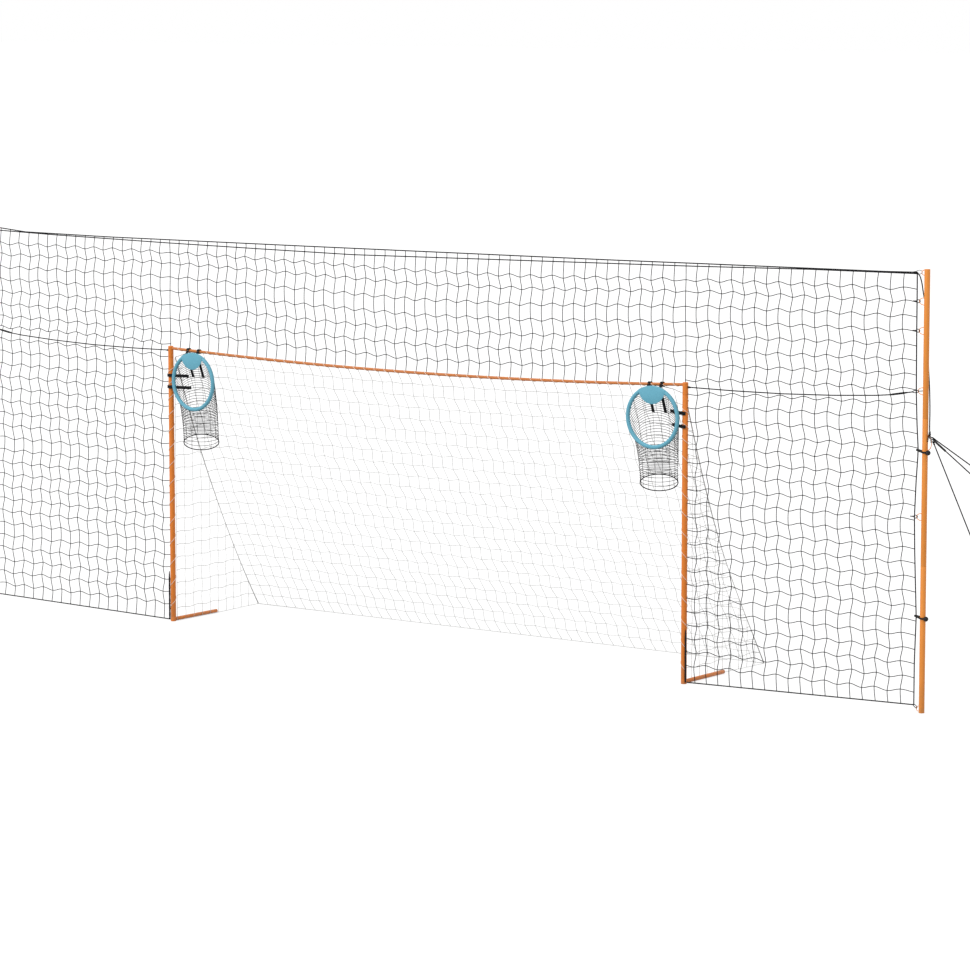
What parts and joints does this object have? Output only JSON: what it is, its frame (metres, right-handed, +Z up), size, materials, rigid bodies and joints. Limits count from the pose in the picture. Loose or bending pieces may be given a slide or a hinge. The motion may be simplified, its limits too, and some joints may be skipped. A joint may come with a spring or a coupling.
{
  "type": "ball-stop net on poles with goal",
  "caption": "Black ball-stop net between two tall orange sectional poles, laced round a portable orange goal with a white net and light-blue corner targets.",
  "frame": {"origin": "middle of the outline at ground level, guy ropes left out", "axes": "+X along the goal line towards the guyed pole, +Y to the back of the goal, +Z up"},
  "size_m": [9.5492, 1.6753, 3.04],
  "materials": {
    "pole_orange": "satin",
    "goal_orange": "satin",
    "bar_orange": "satin",
    "button_steel": "polished",
    "black_twine": "matte",
    "black_rope": "matte",
    "white_twine": "matte",
    "lacing_cord": "matte",
    "clip_dark": "matte",
    "black_rubber": "matte",
    "target_blue": "matte",
    "strap_black": "matte"
  },
  "bodies": {
    "stand": {"ball_tie_lower_left": "black_rubber", "ball_tie_lower_right": "black_rubber", "ball_tie_upper_left": "black_rubber", "ball_tie_upper_right": "black_rubber", "bottom_tie_left": "black_rope", "bottom_tie_right": "black_rope", "crossbar_left": "bar_orange", "crossbar_right": "bar_orange", "goal_elbow_left": "goal_orange", "goal_elbow_right": "goal_orange", "goal_foot_left": "goal_orange", "goal_foot_right": "goal_orange", "goal_net_back": "white_twine", "goal_net_side_left": "white_twine", "goal_net_side_right": "white_twine", "goal_post_left": "goal_orange", "goal_post_right": "goal_orange", "guy_rope_front": "black_rope", "guy_rope_rear": "black_rope", "guy_rope_side": "black_rope", "head_rope": "black_rope", "lacing_crossbar": "lacing_cord", "lacing_post_left": "lacing_cord", "lacing_post_right": "lacing_cord", "middle_rope_left": "black_rope", "middle_rope_right": "black_rope", "net_clip_low_left": "clip_dark", "net_clip_low_right": "clip_dark", "net_clip_second_left": "clip_dark", "net_clip_second_right": "clip_dark", "net_clip_top_left": "clip_dark", "net_clip_top_right": "clip_dark", "pole_lower_left": "pole_orange", "pole_lower_right": "pole_orange", "pole_middle_left": "pole_orange", "pole_middle_right": "pole_orange", "pole_upper_left": "pole_orange", "pole_upper_right": "pole_orange", "stop_net_side_left": "black_twine", "stop_net_side_right": "black_twine", "stop_net_upper": "black_twine", "target_bar_strap_inner_left": "strap_black", "target_bar_strap_inner_right": "strap_black", "target_bar_strap_outer_left": "strap_black", "target_bar_strap_outer_right": "strap_black", "target_post_strap_lower_left": "strap_black", "target_post_strap_lower_right": "strap_black", "target_post_strap_upper_left": "strap_black", "target_post_strap_upper_right": "strap_black", "target_ring_left": "target_blue", "target_ring_right": "target_blue", "target_sleeve_left": "black_twine", "target_sleeve_right": "black_twine", "tie_down_cord": "black_rope"},
    "button_lower_right": {"pole_button_lower_right": "button_steel"},
    "button_lower_left": {"pole_button_lower_left": "button_steel"},
    "button_upper_right": {"pole_button_upper_right": "button_steel"},
    "button_upper_left": {"pole_button_upper_left": "button_steel"},
    "adjuster": {"guy_adjuster": "black_rubber"}
  },
  "joints": [
    {"name": "press_button_lower_right", "type": "slide", "parent": "stand", "child": "button_lower_right", "axis": [0, -1, 0], "range_m": [0, 0.005]},
    {"name": "press_button_lower_left", "type": "slide", "parent": "stand", "child": "button_lower_left", "axis": [0, -1, 0], "range_m": [0, 0.005]},
    {"name": "press_button_upper_right", "type": "slide", "parent": "stand", "child": "button_upper_right", "axis": [0, -1, 0], "range_m": [0, 0.005]},
    {"name": "press_button_upper_left", "type": "slide", "parent": "stand", "child": "button_upper_left", "axis": [0, -1, 0], "range_m": [0, 0.005]},
    {"name": "slide_adjuster", "type": "slide", "parent": "stand", "child": "adjuster", "axis": [0.8104, 0, -0.5859], "range_m": [0, 0.25]}
  ]
}
